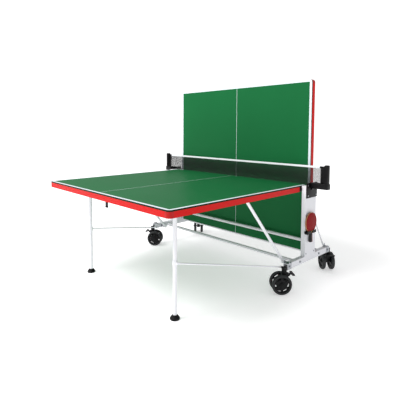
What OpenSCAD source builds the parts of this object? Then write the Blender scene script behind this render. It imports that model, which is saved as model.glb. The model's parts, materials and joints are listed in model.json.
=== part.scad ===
// Folding ping pong table on a wheeled undercarriage, in the solo practice position:
// half a is down to play on, half b stands upright behind the net as a rebound board.
// Each half runs in guide slots in the two columns and is carried by two struts.

/* [Playing top] */
// Length of the whole top, both halves, in playing position
table_l = 2740; // [2300:10:3000]
// Width of the top
table_w = 1525; // [1300:5:1700]
// Height of the playing surface above the floor
table_h = 760; // [680:5:800]
// Thickness of the board
board_t = 22; // [16:1:25]
// Radius of the outer corners in plan
corner_r = 24; // [12:1:40]
// Distance from the net line to the inner edge of a half
edge_gap = 21; // [15:1:40]

/* [Apron] */
// Depth from the playing surface to the lower edge of the apron
apron_d = 47; // [40:1:70]
// Thickness of the apron sheet
apron_t = 3; // [2:0.5:5]
// Width of the apron's lower return lip
apron_lip = 18; // [10:1:25]
// Height of the board's bare edge above the apron
edge_band = 10; // [6:0.5:12]
// Length of a corner cap along each side
corner_cap_l = 36; // [30:1:60]
// Length of the end cap at the net end of each side apron
end_cap_l = 78; // [50:1:90]

/* [Fold] */
// Distance from the net line to the playing face of a folded half
fold_gap = 52; // [48:1:60]
// Height of the lower edge of a folded half
fold_z = 214; // [200:1:240]
// Depth of the guide pins below the playing surface
pin_depth = 12; // [10:0.5:14]
// Radius of the guide pins
pin_r = 5; // [4:0.5:6]
// Distance from the inner edge to a strut's upper pivot
strut_reach = 665; // [600:5:720]
// Depth of a strut's upper pivot below the playing surface
strut_depth = 40; // [39:1:44]
// Distance of the struts from the table's centre line
strut_x = 712; // [660:1:720]
// Outer radius of a strut tube
strut_r = 10.5; // [9:0.5:14]

/* [Legs] */
// Distance of the legs from the table's centre line
leg_x = 535; // [400:5:560]
// Distance from the inner edge to a leg's pivot
leg_reach = 1134; // [1000:2:1180]
// Depth of a leg's pivot below the playing surface
leg_depth = 58; // [54:1:64]
// Outer radius of a leg tube
leg_r = 14; // [12:0.5:18]
// Wall of the tubes
tube_wall = 2; // [1.5:0.5:3]
// Drop from a leg's pivot to its link rod
link_drop = 340; // [300:2:420]
// Radius of a link rod
link_r = 5.5; // [4.5:0.5:9]
// Height of a levelling foot
foot_h = 30; // [25:1:45]
// Radius of a levelling foot
foot_r = 32; // [26:1:50]

/* [Undercarriage] */
// Gap between the top's side and the inner face of a column
column_gap = 7.5; // [6:0.5:12]
// Width of a column and a side beam, across the table
column_w = 35; // [32:1:45]
// Width of a column along the table
column_l = 154; // [154:1:180]
// Sheet thickness of a column
column_wall = 2; // [1.5:0.5:2.5]
// Half length of a side beam
beam_half = 312; // [290:2:360]
// Height of a side beam
beam_h = 45; // [40:1:60]
// Height of a side beam's underside above the floor
beam_z = 167; // [163:1:185]
// Radius of the crossbars
bar_r = 12.5; // [10:0.5:16]
// Distance of the lower crossbars from the net line
lower_bar_y = 142; // [110:1:150]
// Height of the upper crossbar
upper_bar_z = 315; // [290:1:330]
// Height of the struts' lower pivots
strut_foot_z = 185; // [180:1:195]
// Height of the link rods' lower pivots
link_foot_z = 182; // [178:1:195]

/* [Casters] */
// Radius of a caster wheel
wheel_r = 74; // [60:1:75]
// Width of a caster wheel
wheel_w = 28; // [20:1:30]
// Distance between the two wheels of a caster, middle to middle
wheel_pitch = 74; // [70:1:84]
// Trail of a caster behind its swivel stem
trail = 26; // [15:1:35]
// Radius of the swivel stem
stem_r = 7; // [5:0.5:8]
// Swivel angle of the near front caster
swivel_near_front = 140; // [-180:1:180]
// Swivel angle of the far front caster
swivel_far_front = -50; // [-180:1:180]
// Swivel angle of the near rear caster
swivel_near_rear = 46; // [-180:1:180]
// Swivel angle of the far rear caster
swivel_far_rear = 46; // [-180:1:180]

/* [Net] */
// Height of the net above the playing surface
net_h = 152.5; // [150:0.5:155]
// Distance from the top's side to the inside of a net post
net_reach = 152.5; // [150:0.5:160]
// Width of a net post across the table
post_w = 30; // [22:1:36]
// Width of a net post along the table
post_l = 34; // [24:1:40]
// Height of the white tape along the top of the net
tape_h = 15; // [10:1:20]
// Height of the bracket plate on a column
plate_h = 116; // [105:1:150]
// Height of the bracket's arm
arm_h = 42; // [34:1:50]

/* [Bat] */
// Diameter of the bat's blade
blade_d = 152; // [140:1:160]
// Thickness of the bat's wooden blade
blade_t = 6.4; // [5:0.1:7]
// Thickness of one rubber
rubber_t = 3.8; // [2:0.1:4]
// Height of the bat holder's top
holder_z = 413; // [395:1:450]
// Distance of the bat in front of the column's middle
bat_offset = 24; // [0:1:30]

/* [Hidden] */
$fn = 48;
PARTS = ["side_beams", "column_near", "column_far", "crossbars", "end_brackets", "stem_housings",
    "frame_bolts", "net_brackets", "net_post_near", "net_post_far", "net_mesh", "net_tape", "bat_holder",
    "bat_blade", "bat_rubbers", "bat_grip"];
HALF_PARTS = ["board", "apron", "corner_caps", "end_caps", "underframe", "release_handle",
    "release_bar", "guide_shoes", "struts", "link_rods", "leg_near", "leg_far", "foot_near",
    "foot_far"];
CASTER_PARTS = ["caster_fork", "wheel_inner", "wheel_outer", "brake_lever"];
CORNERS = ["near_front", "far_front", "near_rear", "far_rear"];
HALVES = ["a", "b"];

eps = 0.01;             // overlap of a cut past the face it opens
slip = 0.05;            // radial clearance of a pin that turns in its bore
gap = 0.5;              // clearance between a sliding piece and its guide
half_w = table_w / 2;
half_l = table_l / 2;
board_z = table_h - board_t;
apron_top = table_h - edge_band;
apron_z = table_h - apron_d;

// Undercarriage, measured from the net line and the centre line
column_in = half_w + column_gap;
column_out = column_in + column_w;
column_mid = (column_in + column_out) / 2;
beam_top = beam_z + beam_h;
column_top = table_h;
housing_l = 30;
housing_low = beam_z - 12;
housing_top = beam_top - 20;
stem_y = beam_half + housing_l / 2;
pin_y = fold_gap + pin_depth;
pin_play_z = table_h - pin_depth;
pin_fold_z = fold_z + pin_y - edge_gap;
shoe = 20;
rib_y = pin_y - shoe / 2 - 1.5;

// Where a point of a half goes when the half folds up: y from the net line, z from the floor
function folded(p) = [fold_gap + table_h - p[1], fold_z + p[0] - edge_gap];
// The place on a level z that is as far from p as from q, which closes a link at both ends of the fold
function closing_y(p, q, z) =
    (pow(p[0], 2) - pow(q[0], 2) + pow(p[1] - z, 2) - pow(q[1] - z, 2)) / (2 * (p[0] - q[0]));
strut_head = [edge_gap + strut_reach, table_h - strut_depth];
strut_foot = [closing_y(strut_head, folded(strut_head), strut_foot_z), strut_foot_z];
leg_head = [edge_gap + leg_reach, table_h - leg_depth];
link_head = [leg_head[0], leg_head[1] - link_drop];
link_head_folded = folded(leg_head) - [0, link_drop];
link_foot = [closing_y(link_head, link_head_folded, link_foot_z), link_foot_z];
link_head_x = leg_x + leg_r + 9;
link_foot_x = column_in - 13;
leg_low = foot_h - 10;

// Casters
axle_r = 4;
stem_top = housing_top - 2;
caster_top = housing_low;
hub_w = wheel_pitch - wheel_w - 2 * 6;

// Net and its brackets
post_in = half_w + net_reach;
post_mid = post_in + post_w / 2;
net_top = table_h + net_h;
plate_t = 8;
arm_top = table_h + 21;
net_clear = 2;

// Bat
bat_y = -bat_offset;
bat_t = blade_t + 2 * rubber_t;
bat_x = column_out + plate_t + 2 + bat_t / 2;
holder_floor = holder_z - 11;
grip_slot = 17;
blade_z = holder_floor + gap + sqrt(pow(blade_d / 2, 2) - pow(grip_slot, 2));
grip_l = 78;

// The footprint's middle lies this far in front of the net line, and is the part's origin
rear_reach = stem_y + trail * cos(swivel_near_rear) + wheel_r * cos(swivel_near_rear)
    + (wheel_pitch + wheel_w) / 2 * sin(swivel_near_rear);
origin_y = (edge_gap + half_l - rear_reach) / 2;

// ---- Helpers

module in_frame() translate([0, origin_y, 0]) children();

// Puts a piece drawn in the playing position, away from the net towards +y, on its half at rest
module on_half(h) {
    in_frame()
        if (h == "a") rotate(180) children();
        else translate([0, fold_gap + table_h, fold_z - edge_gap]) rotate([90, 0, 0]) children();
}

// Side of the table: near is +x once a half is at rest, and half a is turned round
function side_x(h, side) = (h == "a" ? -1 : 1) * (side == "near" ? 1 : -1);
function rest(h, p) = h == "a" ? [-p[0], p[1]] : folded(p);
function sign_y(h) = h == "a" ? -1 : 1;

module box(low, high) translate(low) cube(high - low);

module box_tube_y(low, high, wall) difference() {
    box(low, high);
    box([low[0] + wall, low[1] - eps, low[2] + wall], [high[0] - wall, high[1] + eps, high[2] - wall]);
}

// A round bar between two points
module bar(p, q, r) {
    d = q - p;
    translate(p)
        rotate([0, acos(d[2] / norm(d)), atan2(d[1], d[0])])
            cylinder(r = r, h = norm(d));
}

// A cylinder along x, centred on a point
module drum(p, r, w) translate(p) rotate([0, 90, 0]) cylinder(r = r, h = w, center = true);

module both_sides() {
    children();
    mirror([1, 0, 0]) children();
}

module both_ends() {
    children();
    mirror([0, 1, 0]) children();
}

// Plan of a half, its outer corners rounded, stepped in all round but at the net
module half_plan(inset) {
    w = half_w - inset;
    y1 = edge_gap + half_l - inset;
    r = corner_r - inset;
    translate([-w, edge_gap]) square([2 * w, half_l - inset - r]);
    translate([-w + r, edge_gap]) square([2 * (w - r), half_l - inset]);
    for (s = [-1, 1]) translate([s * (w - r), y1 - r]) circle(r);
}

// The apron's section all the way round: a sheet with a lip turned in at its lower edge
module apron_ring() {
    difference() {
        translate([0, 0, apron_z]) linear_extrude(apron_top - apron_z) half_plan(0);
        translate([0, 0, apron_z - eps]) linear_extrude(apron_d) half_plan(apron_t);
    }
    difference() {
        translate([0, 0, apron_z]) linear_extrude(apron_t) half_plan(0);
        translate([0, 0, apron_z - eps]) linear_extrude(apron_t + 2 * eps) half_plan(apron_lip);
    }
}

module corner_zone() both_sides()
    box([half_w - corner_cap_l, edge_gap + half_l - corner_cap_l, apron_z - 1],
        [half_w + 1, edge_gap + half_l + 1, apron_top + 1]);

// ---- The halves

module board(h) color("seagreen") on_half(h) {
    translate([0, 0, apron_top]) linear_extrude(edge_band) half_plan(0);
    translate([0, 0, board_z]) linear_extrude(board_t - edge_band + eps) half_plan(apron_t);
}

module apron(h) color("red") on_half(h) difference() {
    apron_ring();
    corner_zone();
    box([-half_w - 1, edge_gap - 1, apron_z - 1], [half_w + 1, edge_gap + end_cap_l, apron_top + 1]);
}

module corner_caps(h) color("firebrick") on_half(h) intersection() {
    apron_ring();
    corner_zone();
}

module end_caps(h) color("black") on_half(h) both_sides() {
    proud = 0.5;
    box([half_w - apron_t, edge_gap, apron_z], [half_w + proud, edge_gap + end_cap_l, apron_top]);
    box([half_w - apron_lip, edge_gap, apron_z], [half_w, edge_gap + end_cap_l, board_z]);
}

// Two ears and their pin, which carry a tube of radius r at a pivot below the board
module pivot_ears(x, p, r, pin) {
    ear_t = 3;
    ear_r = 13;
    for (s = [-1, 1]) {
        ex = x + s * (r + 1 + ear_t / 2);
        drum([ex, p[0], p[1]], ear_r, ear_t);
        box([ex - ear_t / 2, p[0] - ear_r, p[1]], [ex + ear_t / 2, p[0] + ear_r, board_z]);
    }
    drum([x, p[0], p[1]], pin, 2 * (r + 1 + ear_t) + 6);
}

module underframe(h) {
    rail_x = leg_x + 65;
    rail_w = 20;
    rail_d = 14;
    cross_d = 16;
    plate = 3;
    pad = 44;
    color("gainsboro") on_half(h) {
        both_sides() {
            box([rail_x - rail_w / 2, edge_gap + 40, board_z - rail_d],
                [rail_x + rail_w / 2, edge_gap + half_l - 50, board_z]);
            box([rail_x, strut_head[0] - pad, board_z - plate],
                [half_w - apron_lip - 2, strut_head[0] + pad, board_z]);
            box([leg_x - leg_r - 10, leg_head[0] - pad, board_z - plate],
                [rail_x, leg_head[0] + pad, board_z]);
            pivot_ears(strut_x, strut_head, strut_r, pin_r);
            pivot_ears(leg_x, leg_head, leg_r, pin_r + 1);
        }
        for (y = [edge_gap + 90, edge_gap + half_l - 130])
            box([-half_w + apron_lip + 4, y, board_z - cross_d],
                [half_w - apron_lip - 4, y + rail_w, board_z]);
        // Ears and pin of the release handle
        for (s = [-1, 1]) {
            x = s * (handle_w / 2 + 2);
            drum([x, handle_pivot[0], handle_pivot[1]], 7, 2);
            box([x - 1, handle_pivot[0] - 7, handle_pivot[1]], [x + 1, handle_pivot[0] + 7, board_z]);
        }
        drum([0, handle_pivot[0], handle_pivot[1]], 3, handle_w + 10);
        // Guide pins, which stand out of the end caps into the columns' slots
        both_sides() {
            drum([half_w + 18, pin_y, pin_play_z], pin_r, 34);
            drum([half_w + 2.5, pin_y, pin_play_z], pin_r + 2, 4);
        }
    }
}

handle_pivot = [edge_gap + half_l - 75, board_z - 16];
handle_w = 22;

module release_handle(h) color("black") on_half(h) {
    drop = 70;
    difference() {
        union() {
            drum([0, handle_pivot[0], handle_pivot[1]], 8, handle_w);
            box([-handle_w / 2, handle_pivot[0] - 4, handle_pivot[1] - drop],
                [handle_w / 2, handle_pivot[0] + 4, handle_pivot[1]]);
            drum([0, handle_pivot[0], handle_pivot[1] - drop], 6, handle_w);
        }
        drum([0, handle_pivot[0], handle_pivot[1]], 3 + slip, handle_w + 1);
    }
}

// A bar along the middle that the handle pulls, with a cross rod to the two side locks
module release_bar(h) color("silver") on_half(h) {
    rod_z = board_z - 21;
    rod_end = edge_gap + 130;
    bar([0, handle_pivot[0] - 24, rod_z], [0, rod_end, rod_z], 4);
    drum([0, rod_end, rod_z], 5, 2 * (half_w - apron_lip - 8));
}

module guide_shoes(h) color("white") on_half(h) both_sides() difference() {
    box([column_in + column_wall + gap, pin_y - shoe / 2, pin_play_z - shoe / 2],
        [column_out - column_wall - gap, pin_y + shoe / 2, pin_play_z + shoe / 2]);
    drum([column_mid, pin_y, pin_play_z], pin_r + slip, column_w + 2);
}

module struts(h) color("whitesmoke") in_frame() both_sides() {
    head = rest(h, strut_head);
    foot = [sign_y(h) * strut_foot[0], strut_foot[1]];
    p = [strut_x, head[0], head[1]];
    q = [strut_x, foot[0], foot[1]];
    difference() {
        union() {
            bar(p, q, strut_r);
            for (end = [p, q]) drum(end, strut_r + 1.5, 2 * strut_r);
            drum(q - [strut_r + 3, 0, 0], 8, 6);
        }
        drum(p, pin_r + slip, 3 * strut_r);
    }
}

module link_rods(h) color("whitesmoke") in_frame() both_sides() {
    head = h == "a" ? [-link_head[0], link_head[1]] : link_head_folded;
    foot = [sign_y(h) * link_foot[0], link_foot[1]];
    p = [link_head_x, head[0], head[1]];
    q = [link_foot_x, foot[0], foot[1]];
    eye_w = 12;
    difference() {
        union() {
            bar(p, q, link_r);
            drum(p, link_r + 3, eye_w);
            drum(q, link_r + 3, eye_w);
            drum(q - [eye_w / 2 + 2, 0, 0], 7, 4);
        }
        drum(p, 4 + slip, eye_w + 10);
    }
}

module leg(h, side) {
    top = rest(h, leg_head);
    low = top[1] - leg_head[1] + leg_low;
    color("white") in_frame() mirror([side == "near" ? 0 : 1, 0, 0]) translate([leg_x, top[0], 0]) {
        difference() {
            union() {
                translate([0, 0, low]) cylinder(r = leg_r, h = top[1] - low);
                drum([0, 0, top[1]], leg_r - 1, 2 * (leg_r - 1));
            }
            translate([0, 0, low - eps])
                cylinder(r = leg_r - tube_wall, h = top[1] - low - leg_r - 6);
            drum([0, 0, top[1]], pin_r + 1 + slip, 3 * leg_r);
        }
        // Clamp and pin for the link rod
        translate([0, 0, top[1] - link_drop]) {
            difference() {
                translate([0, 0, -14]) cylinder(r = leg_r + 2.5, h = 28);
                translate([0, 0, -15]) cylinder(r = leg_r - tube_wall, h = 30);
            }
            drum([(leg_r + link_head_x - leg_x + 12) / 2, 0, 0], 4, link_head_x - leg_x + 12 - leg_r);
            drum([link_head_x - leg_x + 11, 0, 0], 7, 4);
        }
    }
}

module foot(h, side) {
    top = rest(h, leg_head);
    low = top[1] - leg_head[1];
    color("black") in_frame() mirror([side == "near" ? 0 : 1, 0, 0]) translate([leg_x, top[0], low]) {
        difference() {
            union() {
                cylinder(r1 = foot_r - 2, r2 = foot_r, h = 3);
                translate([0, 0, 3]) cylinder(r = foot_r, h = 7);
                translate([0, 0, 10]) cylinder(r1 = foot_r, r2 = leg_r + 3, h = foot_h - 10);
            }
            // Cup that the leg's lower end stands in
            translate([0, 0, leg_low - 8]) cylinder(r = leg_r + gap, h = foot_h);
        }
        cylinder(r = 6, h = foot_h + 40);
    }
}

// ---- The undercarriage

module side_beams() color("gainsboro") in_frame() both_sides() difference() {
    box_tube_y([column_in, -beam_half, beam_z], [column_out, beam_half, beam_top], 2.5);
    for (y = bolt_ys) drum([column_out, y, bolt_z], bolt_r + 0.1, 10);
}

bolt_r = 4;
bolt_z = beam_z + beam_h / 2;
bolt_ys = [-beam_half + 27, -lower_bar_y, lower_bar_y, beam_half - 27];
saddle_t = 2;

module frame_bolts() color("dimgray") in_frame() both_sides() for (y = bolt_ys) {
    seat = column_out + (abs(y) > lower_bar_y ? saddle_t : 0);
    drum([seat - 8, y, bolt_z], bolt_r, 16);
    translate([seat, y, bolt_z]) rotate([0, 90, 0]) cylinder(r = 10, h = 1.5);
    translate([seat + 1.5, y, bolt_z]) rotate([0, 90, 0]) cylinder(r = 7.5, h = 5, $fn = 6);
}

// A saddle over each end of a beam with a tab that stands up, and a stud for each strut's lower pivot
module end_brackets() color("lightsteelblue") in_frame() both_sides() both_ends() {
    difference() {
        union() {
            box([column_in, beam_half - 50, beam_top], [column_out + saddle_t, beam_half, beam_top + saddle_t]);
            box([column_out, beam_half - 50, beam_z], [column_out + saddle_t, beam_half, beam_top + eps]);
            box([column_in, beam_half - 24, beam_top], [column_in + saddle_t, beam_half - 4, beam_top + 22]);
        }
        drum([column_out, beam_half - 27, bolt_z], bolt_r + 0.1, 10);
    }
    stud_end = strut_x + strut_r + 1;
    drum([(column_in + stud_end) / 2, strut_foot[0], strut_foot[1]], 11, column_in - stud_end);
}

// Blocks on the beams' ends that the casters' stems turn in, each with a stub for a link rod's lower pivot
module stem_housings() color("black") in_frame() both_sides() both_ends() difference() {
    union() {
        box([column_in + 5, beam_half, housing_low], [column_out - 5, beam_half + housing_l, housing_top]);
        drum([column_in - 0.5, link_foot[0], link_foot[1]], 9, 11 + eps);
    }
    translate([column_mid, stem_y, housing_low - 1]) cylinder(r = stem_r + slip, h = housing_top);
}

module column() color("gainsboro") in_frame() {
    w = column_l / 2;
    slot_w = 2 * pin_r + 2;
    difference() {
        box([column_in, -w, beam_top], [column_out, w, column_top]);
        difference() {
            box([column_in + column_wall, -w + column_wall, beam_top - eps],
                [column_out - column_wall, w - column_wall, column_top + eps]);
            for (s = [-1, 1]) translate([0, s * rib_y, 0])
                box([column_in, -column_wall / 2, beam_top - 1], [column_out, column_wall / 2, column_top + 1]);
        }
        for (s = [-1, 1]) translate([0, s * pin_y, 0])
            box([column_in - 1, -slot_w / 2, pin_fold_z - pin_r - 6],
                [column_in + column_wall + eps, slot_w / 2, pin_play_z + pin_r + 1.5]);
    }
}

module column_near() column();

module column_far() mirror([1, 0, 0]) column();

module crossbars() color("whitesmoke") in_frame()
    for (at = [[-lower_bar_y, strut_foot_z - 3], [lower_bar_y, strut_foot_z - 3], [0, upper_bar_z]])
        difference() {
            drum([0, at[0], at[1]], bar_r, 2 * column_in);
            drum([0, at[0], at[1]], bar_r - tube_wall, 2 * column_in + 2);
        }

// ---- Casters, drawn at the origin with the stem on the z axis and the wheels trailing to +y

function corner_x(c) = (c == "near_front" || c == "near_rear" ? 1 : -1) * column_mid;
function corner_y(c) = (c == "near_front" || c == "far_front" ? -1 : 1) * stem_y;
function swivel(c) = c == "near_front" ? swivel_near_front
    : c == "far_front" ? swivel_far_front
    : c == "near_rear" ? swivel_near_rear : swivel_far_rear;

module at_corner(c) in_frame() translate([corner_x(c), corner_y(c), 0]) rotate(swivel(c)) children();

brake_y = -30;
brake_z = caster_top - 17;
neck_z = caster_top - 5;

module caster_fork(c) color("black") at_corner(c) {
    translate([0, 0, neck_z]) cylinder(r = stem_r, h = stem_top - neck_z);
    // Bearing cup under the housing
    translate([0, 0, neck_z - 5]) cylinder(r = 17, h = 8);
    // Body between the wheels, from the cup down to the axle, with ears for the brake in front
    difference() {
        union() {
            translate([-hub_w / 2, 0, 0]) rotate([90, 0, 90]) linear_extrude(hub_w)
                polygon([[brake_y, brake_z - 8], [trail - 16.5, wheel_r - 4], [trail + 16.5, wheel_r - 4],
                    [trail + 20, wheel_r + 30], [19, neck_z], [-13, neck_z - 1], [brake_y, brake_z + 8]]);
            drum([0, trail, wheel_r], 18, hub_w);
            drum([0, brake_y, brake_z], 9, hub_w);
        }
        box([-hub_w / 2 + 4, brake_y - 20, brake_z - 30], [hub_w / 2 - 4, brake_y + 12, brake_z + 30]);
    }
    drum([0, brake_y, brake_z], 2.5, hub_w - 2);
    drum([0, trail, wheel_r], axle_r, wheel_pitch + wheel_w + 8);
    for (s = [-1, 1]) drum([s * (wheel_pitch / 2 + wheel_w / 2 + 3.5), trail, wheel_r], 9, 5);
}

module caster_wheel(s) translate([s * wheel_pitch / 2, trail, wheel_r]) rotate([0, 90, 0]) {
    spokes = 6;
    rim_r = wheel_r - 13;
    difference() {
        union() {
            // Tyre with a crowned tread
            rotate_extrude() polygon([[rim_r, -wheel_w / 2 + 2], [wheel_r - 4, -wheel_w / 2],
                [wheel_r, -wheel_w / 2 + 5], [wheel_r, wheel_w / 2 - 5],
                [wheel_r - 4, wheel_w / 2], [rim_r, wheel_w / 2 - 2]]);
            translate([0, 0, -wheel_w / 2 + 6]) cylinder(r = rim_r + 1, h = 3);
            cylinder(r = 14, h = wheel_w, center = true);
            for (a = [0 : spokes - 1]) rotate(a * 360 / spokes)
                translate([10, -3.5, -wheel_w / 2 + 4]) cube([rim_r - 8, 7, wheel_w - 8]);
        }
        cylinder(r = axle_r + slip, h = wheel_w + 2, center = true);
        for (a = [0 : spokes - 1]) rotate((a + 0.5) * 360 / spokes)
            translate([45, 0, -wheel_w / 2]) cylinder(r = 7.5, h = wheel_w);
    }
}

module wheel_inner(c) color("dimgray") at_corner(c) caster_wheel(-1);

module wheel_outer(c) color("dimgray") at_corner(c) caster_wheel(1);

// Brake pedal between the fork's ears, whose tip swings down
module brake_lever(c) color("black") at_corner(c) translate([0, brake_y, brake_z]) {
    w = hub_w - 10;
    translate([-w / 2, 0, 0]) rotate([90, 0, 90]) linear_extrude(w) difference() {
        union() {
            circle(r = 6);
            polygon([[-3, -4], [-3, 4], [-22, 8], [-22, 2]]);
        }
        circle(r = 2.5 + slip);
    }
    box([-wheel_pitch / 2 - 2, -38, 1], [wheel_pitch / 2 + 2, -20, 9]);
}

// ---- The net

module net_brackets() color("black") in_frame() both_sides() {
    w = column_l / 2;
    box([column_out, -w, arm_top - plate_h], [column_out + plate_t, w, arm_top]);
    difference() {
        union() {
            box([column_out + plate_t - eps, -post_l / 2 - 6, arm_top - arm_h], [post_in + post_w + 4, post_l / 2 + 6, arm_top]);
            translate([column_out + plate_t - eps, post_l / 2 + 6, arm_top - arm_h + eps]) rotate([90, 0, 0])
                linear_extrude(post_l + 12) polygon([[0, 0], [14, 0], [0, -14]]);
        }
        box([post_in, -post_l / 2, arm_top - arm_h + 4], [post_in + post_w, post_l / 2, arm_top + 1]);
    }
}

module net_post() color("black") in_frame() {
    cap = 4;
    box([post_in, -post_l / 2, arm_top - arm_h + 4], [post_in + post_w, post_l / 2, net_top + 6]);
    box([post_in + 3, -post_l / 2 + 3, net_top + 6 - eps],
        [post_in + post_w - 3, post_l / 2 - 3, net_top + 6 + cap]);
}

module net_post_near() net_post();

module net_post_far() mirror([1, 0, 0]) net_post();

// The net is cut short over the arms of the brackets
module net_mesh() color("black") in_frame() difference() {
    box([-post_in, -1, table_h + net_clear], [post_in, 1, net_top - tape_h]);
    both_sides() box([column_out - 1, -2, table_h], [post_in + 1, 2, arm_top + gap]);
}

module net_tape() color("white") in_frame()
    box([-post_in, -2.5, net_top - tape_h], [post_in, 2.5, net_top]);

// ---- Bat and its holder, on the near column

// Stands a plan drawn in x and y upright on the column's outer face, t thick
module upright(x, t) translate([x - t / 2, bat_y, blade_z]) rotate([90, 0, 90]) linear_extrude(t) children();

module bat_blade() color("burlywood") in_frame() {
    upright(bat_x, blade_t) circle(d = blade_d);
    box([bat_x - blade_t / 2, bat_y - 12, blade_z - blade_d / 2 - grip_l],
        [bat_x + blade_t / 2, bat_y + 12, blade_z - blade_d / 2 + 4]);
}

module bat_rubbers() color("firebrick") in_frame()
    for (s = [-1, 1])
        upright(bat_x + s * (blade_t + rubber_t) / 2, rubber_t) difference() {
            circle(d = blade_d);
            translate([-blade_d / 2, -blade_d]) square([blade_d, blade_d / 2 + 12]);
        }

module bat_grip() color("black") in_frame() difference() {
    low = blade_z - blade_d / 2 - grip_l;
    box([bat_x - 11, bat_y - 15, low], [bat_x + 11, bat_y + 15, low + grip_l - 4]);
    box([bat_x - blade_t / 2, bat_y - 12, low - 1], [bat_x + blade_t / 2, bat_y + 12, low + grip_l]);
}

module bat_holder() color("black") in_frame() difference() {
    w = 64;
    depth = bat_t + plate_t + 4;
    box([column_out, bat_y - w, holder_z - 22], [column_out + 2 + depth, bat_y + w, holder_z]);
    // Pocket for the blade's lower edge
    box([bat_x - bat_t / 2 - 1, bat_y - w - 1, holder_floor],
        [bat_x + bat_t / 2 + 1, bat_y + w + 1, holder_z + 1]);
    // Way through for the grip
    box([bat_x - 12, bat_y - grip_slot, holder_z - 30],
        [column_out + depth + 10, bat_y + grip_slot, holder_z + 1]);
}

// ---- What is drawn

side_beams();
column_near();
column_far();
crossbars();
end_brackets();
stem_housings();
frame_bolts();
net_brackets();
net_post_near();
net_post_far();
net_mesh();
net_tape();
bat_holder();
bat_blade();
bat_rubbers();
bat_grip();
for (h = HALVES) {
    board(h);
    apron(h);
    corner_caps(h);
    end_caps(h);
    underframe(h);
    release_handle(h);
    release_bar(h);
    guide_shoes(h);
    struts(h);
    link_rods(h);
    leg(h, "near");
    leg(h, "far");
    foot(h, "near");
    foot(h, "far");
}
for (c = CORNERS) {
    caster_fork(c);
    wheel_inner(c);
    wheel_outer(c);
    brake_lever(c);
}
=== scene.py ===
"""Folding ping pong table: the looks of its parts, and the pieces that only show."""
import json
import math

import bpy
from mathutils import Euler, Matrix, Quaternion, Vector


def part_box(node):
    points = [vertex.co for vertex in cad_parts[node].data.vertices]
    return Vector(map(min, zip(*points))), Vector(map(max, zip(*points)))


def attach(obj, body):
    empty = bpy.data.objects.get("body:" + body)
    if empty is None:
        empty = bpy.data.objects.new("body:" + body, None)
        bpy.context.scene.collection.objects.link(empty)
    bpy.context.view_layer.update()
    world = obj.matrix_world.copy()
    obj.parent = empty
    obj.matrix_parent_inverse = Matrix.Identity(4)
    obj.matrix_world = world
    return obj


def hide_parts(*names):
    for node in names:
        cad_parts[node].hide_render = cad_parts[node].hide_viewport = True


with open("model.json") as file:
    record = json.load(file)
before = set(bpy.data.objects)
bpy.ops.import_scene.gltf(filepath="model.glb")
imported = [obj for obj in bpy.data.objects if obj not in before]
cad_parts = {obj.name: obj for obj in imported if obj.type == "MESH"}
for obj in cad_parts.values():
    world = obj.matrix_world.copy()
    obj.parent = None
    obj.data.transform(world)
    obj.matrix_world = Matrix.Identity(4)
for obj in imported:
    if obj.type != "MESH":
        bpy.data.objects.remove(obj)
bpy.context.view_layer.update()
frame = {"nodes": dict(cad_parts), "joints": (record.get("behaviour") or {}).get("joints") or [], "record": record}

bl_info = {
    "name": "Folding ping pong table",
    "version": (1, 0, 0),
    "blender": (4, 5, 0),
    "location": "View3D > Sidebar > Table",
    "description": "Dresses a folding ping pong table with its finishes, net, lines, bat and wheels",
    "category": "Object",
}

CORNERS = ("near_front", "far_front", "near_rear", "far_rear")
HALVES = ("a", "b")

# Camera: place in metres, tilt, heading and roll in radians, lens and sensor in mm
CAMERA_PLACE = (2.283, -2.165, 1.191)
CAMERA_TILT, CAMERA_HEADING, CAMERA_ROLL = -0.0634, 0.8094, 0.0041
CAMERA_LENS, CAMERA_SENSOR = 33.9, 36.0
CAMERA_SHIFT = (0.010, -0.118)

# Sizes that the model's own boxes do not give, in metres
WHEEL_WIDTH = 0.028
TYRE_HEIGHT = 0.016
SPOKES = 6
COVER_THICKNESS = 0.008
ARM_HEIGHT = 0.042
ARM_HALF_WIDTH = 0.022

# The halves stand where the model's own boxes say
PLAY_LOW, PLAY_HIGH = (Vector(v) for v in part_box("board_a"))
WALL_LOW = Vector(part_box("board_b")[0])


# ---------------------------------------------------------------- small tools

def linear(colour):
    """Turns an sRGB hex colour into linear red, green, blue and alpha."""
    parts = [int(colour.lstrip("#")[i:i + 2], 16) / 255 for i in (0, 2, 4)]
    return tuple(c / 12.92 if c <= 0.04045 else ((c + 0.055) / 1.055) ** 2.4 for c in parts) + (1.0,)


def put(material, kind, links=None, **settings):
    """Adds a node: a socket in links is joined to its input, any other value is set on it."""
    made = material.node_tree.nodes.new(kind)
    for key, value in settings.items():
        setattr(made, key, value)
    for key, value in (links or {}).items():
        if isinstance(value, bpy.types.NodeSocket):
            material.node_tree.links.new(value, made.inputs[key])
        else:
            made.inputs[key].default_value = value
    return made


def start_material(name, **sockets):
    """A material with its shader, whose even values sit on the shader's own sockets."""
    material = bpy.data.materials.new(name)
    material.use_nodes = True
    shader = material.node_tree.nodes["Principled BSDF"]
    for key, value in sockets.items():
        shader.inputs[key.replace("_", " ")].default_value = value
    return material, shader


def join_up(material, socket, target):
    material.node_tree.links.new(socket, target)


def clear_selection():
    if bpy.context.object and bpy.context.object.mode != "OBJECT":
        bpy.ops.object.mode_set(mode="OBJECT")
    bpy.ops.object.select_all(action="DESELECT")


def edit(piece, kind="FACE"):
    """Opens a piece for editing with nothing selected."""
    clear_selection()
    piece.select_set(True)
    bpy.context.view_layer.objects.active = piece
    bpy.ops.object.mode_set(mode="EDIT")
    bpy.ops.mesh.select_mode(type=kind)
    bpy.ops.mesh.select_all(action="DESELECT")


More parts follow.
